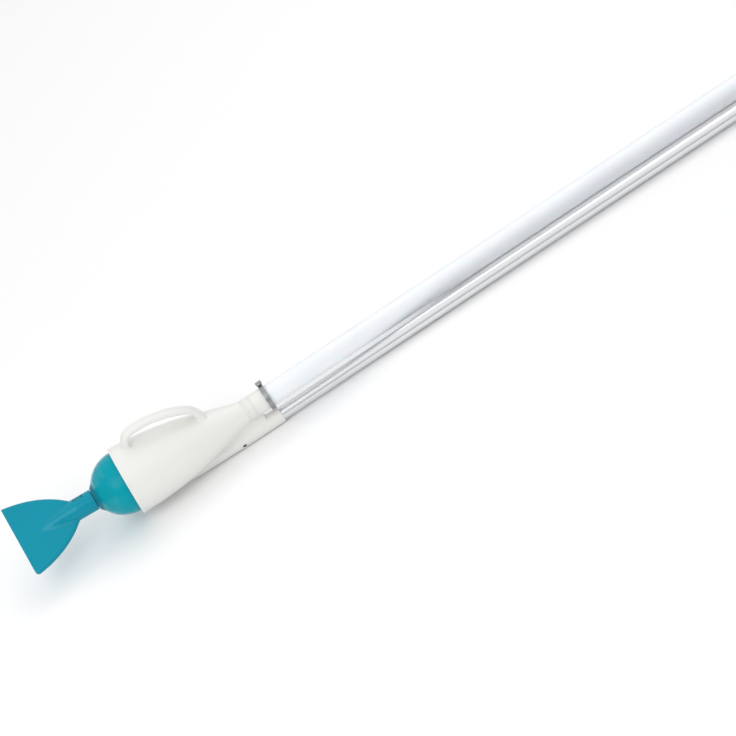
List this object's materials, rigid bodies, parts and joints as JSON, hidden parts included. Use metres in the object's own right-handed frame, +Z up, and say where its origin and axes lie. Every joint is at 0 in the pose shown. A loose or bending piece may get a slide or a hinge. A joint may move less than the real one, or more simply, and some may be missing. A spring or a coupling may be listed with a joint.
{
  "type": "pool vacuum head",
  "caption": "Hand vacuum head with a fan nozzle, clear debris dome, bell-shaped body with a carrying handle, telescopic pole and suction hose.",
  "frame": {"origin": "middle of the head and pole along X and Y, on the floor that they lie on", "axes": "+X along the pole towards its grip, +Z up on the handle's side, +Y to the side that the hose lies on"},
  "size_m": [2.2117, 0.6135, 0.177],
  "materials": {
    "white_body": "warm white moulded plastic",
    "clear_teal": "transparent tinted moulded plastic",
    "teal": "glossy teal moulded plastic",
    "dark_teal": "glossy dark teal moulded plastic",
    "pale_cyan": "moulded plastic",
    "mesh": "fine filter mesh",
    "seal_rubber": "soft black rubber",
    "grey_rubber": "grey rubber",
    "steel": "stainless steel",
    "aluminium": "bright drawn tube",
    "grey_plastic": "moulded plastic",
    "black_plastic": "moulded plastic",
    "bearing_white": "moulded plastic",
    "grip_foam": "soft foam sleeve",
    "hose_white": "translucent white hose wall"
  },
  "bodies": {
    "head": {"body_shell": "white_body", "bayonet_ring": "white_body", "basket_frame": "pale_cyan", "basket_mesh": "mesh", "intake_cone": "pale_cyan", "dome_seal": "seal_rubber", "hose_spigot": "white_body", "spigot_seal": "seal_rubber", "hose_collar": "grey_rubber", "clamp_band": "steel", "clamp_housing": "steel", "pole_outer_tube": "aluminium", "pole_end_plug": "grey_plastic", "lock_sleeve": "grey_plastic", "lock_collet": "bearing_white", "hose_sleeve": "hose_white", "hose_run": "hose_white", "hose_coil": "hose_white", "hose_top_turn": "hose_white", "hose_end_cuff": "white_body"},
    "clamp_screw": {"clamp_screw": "steel"},
    "snap_button": {"pole_button": "black_plastic", "button_spring": "steel"},
    "lock_collar": {"lock_collar": "grey_plastic"},
    "pole_extension": {"pole_inner_tube": "aluminium", "inner_bush": "bearing_white", "grip": "grip_foam", "grip_cap": "grey_plastic"},
    "dome_assembly": {"dome": "clear_teal", "inlet_tube": "dark_teal", "inlet_seal": "seal_rubber", "flap_pin": "steel"},
    "flap": {"inlet_flap": "seal_rubber"},
    "nozzle_assembly": {"nozzle": "teal", "latch_pin": "steel"},
    "latch": {"latch": "dark_teal"}
  },
  "joints": [
    {"name": "dome_twist", "type": "hinge", "parent": "head", "child": "dome_assembly", "pos_m": [-0.69823, 0, 0.08272], "axis": [-0.9976, 0, 0.0698], "range_deg": [0, 32]},
    {"name": "nozzle_swivel", "type": "hinge", "parent": "dome_assembly", "child": "nozzle_assembly", "pos_m": [-0.77804, 0, 0.0883], "axis": [-0.9976, 0, 0.0698], "continuous": true},
    {"name": "latch_press", "type": "hinge", "parent": "nozzle_assembly", "child": "latch", "pos_m": [-0.7937, 0.00159, 0.10757], "axis": [0.0061, -0.9962, 0.0869], "range_deg": [0, 8], "stiffness_Nm_per_rad": 0.5},
    {"name": "flap_swing", "type": "hinge", "parent": "dome_assembly", "child": "flap", "pos_m": [-0.72972, 0, 0.10547], "axis": [0, -1, 0], "range_deg": [-9, 48]},
    {"name": "snap_button_press", "type": "slide", "parent": "head", "child": "snap_button", "axis": [0, 0.9361, 0.3518], "range_m": [0, 0.003], "stiffness_N_per_m": 2000},
    {"name": "lock_collar_twist", "type": "hinge", "parent": "head", "child": "lock_collar", "pos_m": [0.75365, 0, 0.0157], "axis": [1, 0, 0], "range_deg": [0, 90]},
    {"name": "pole_extend", "type": "slide", "parent": "head", "child": "pole_extension", "axis": [1, 0, 0], "range_m": [0, 1]},
    {"name": "clamp_screw_turn", "type": "hinge", "parent": "head", "child": "clamp_screw", "pos_m": [-0.39535, 0.01698, 0.08925], "axis": [0, 0.8192, -0.5736], "continuous": true}
  ]
}
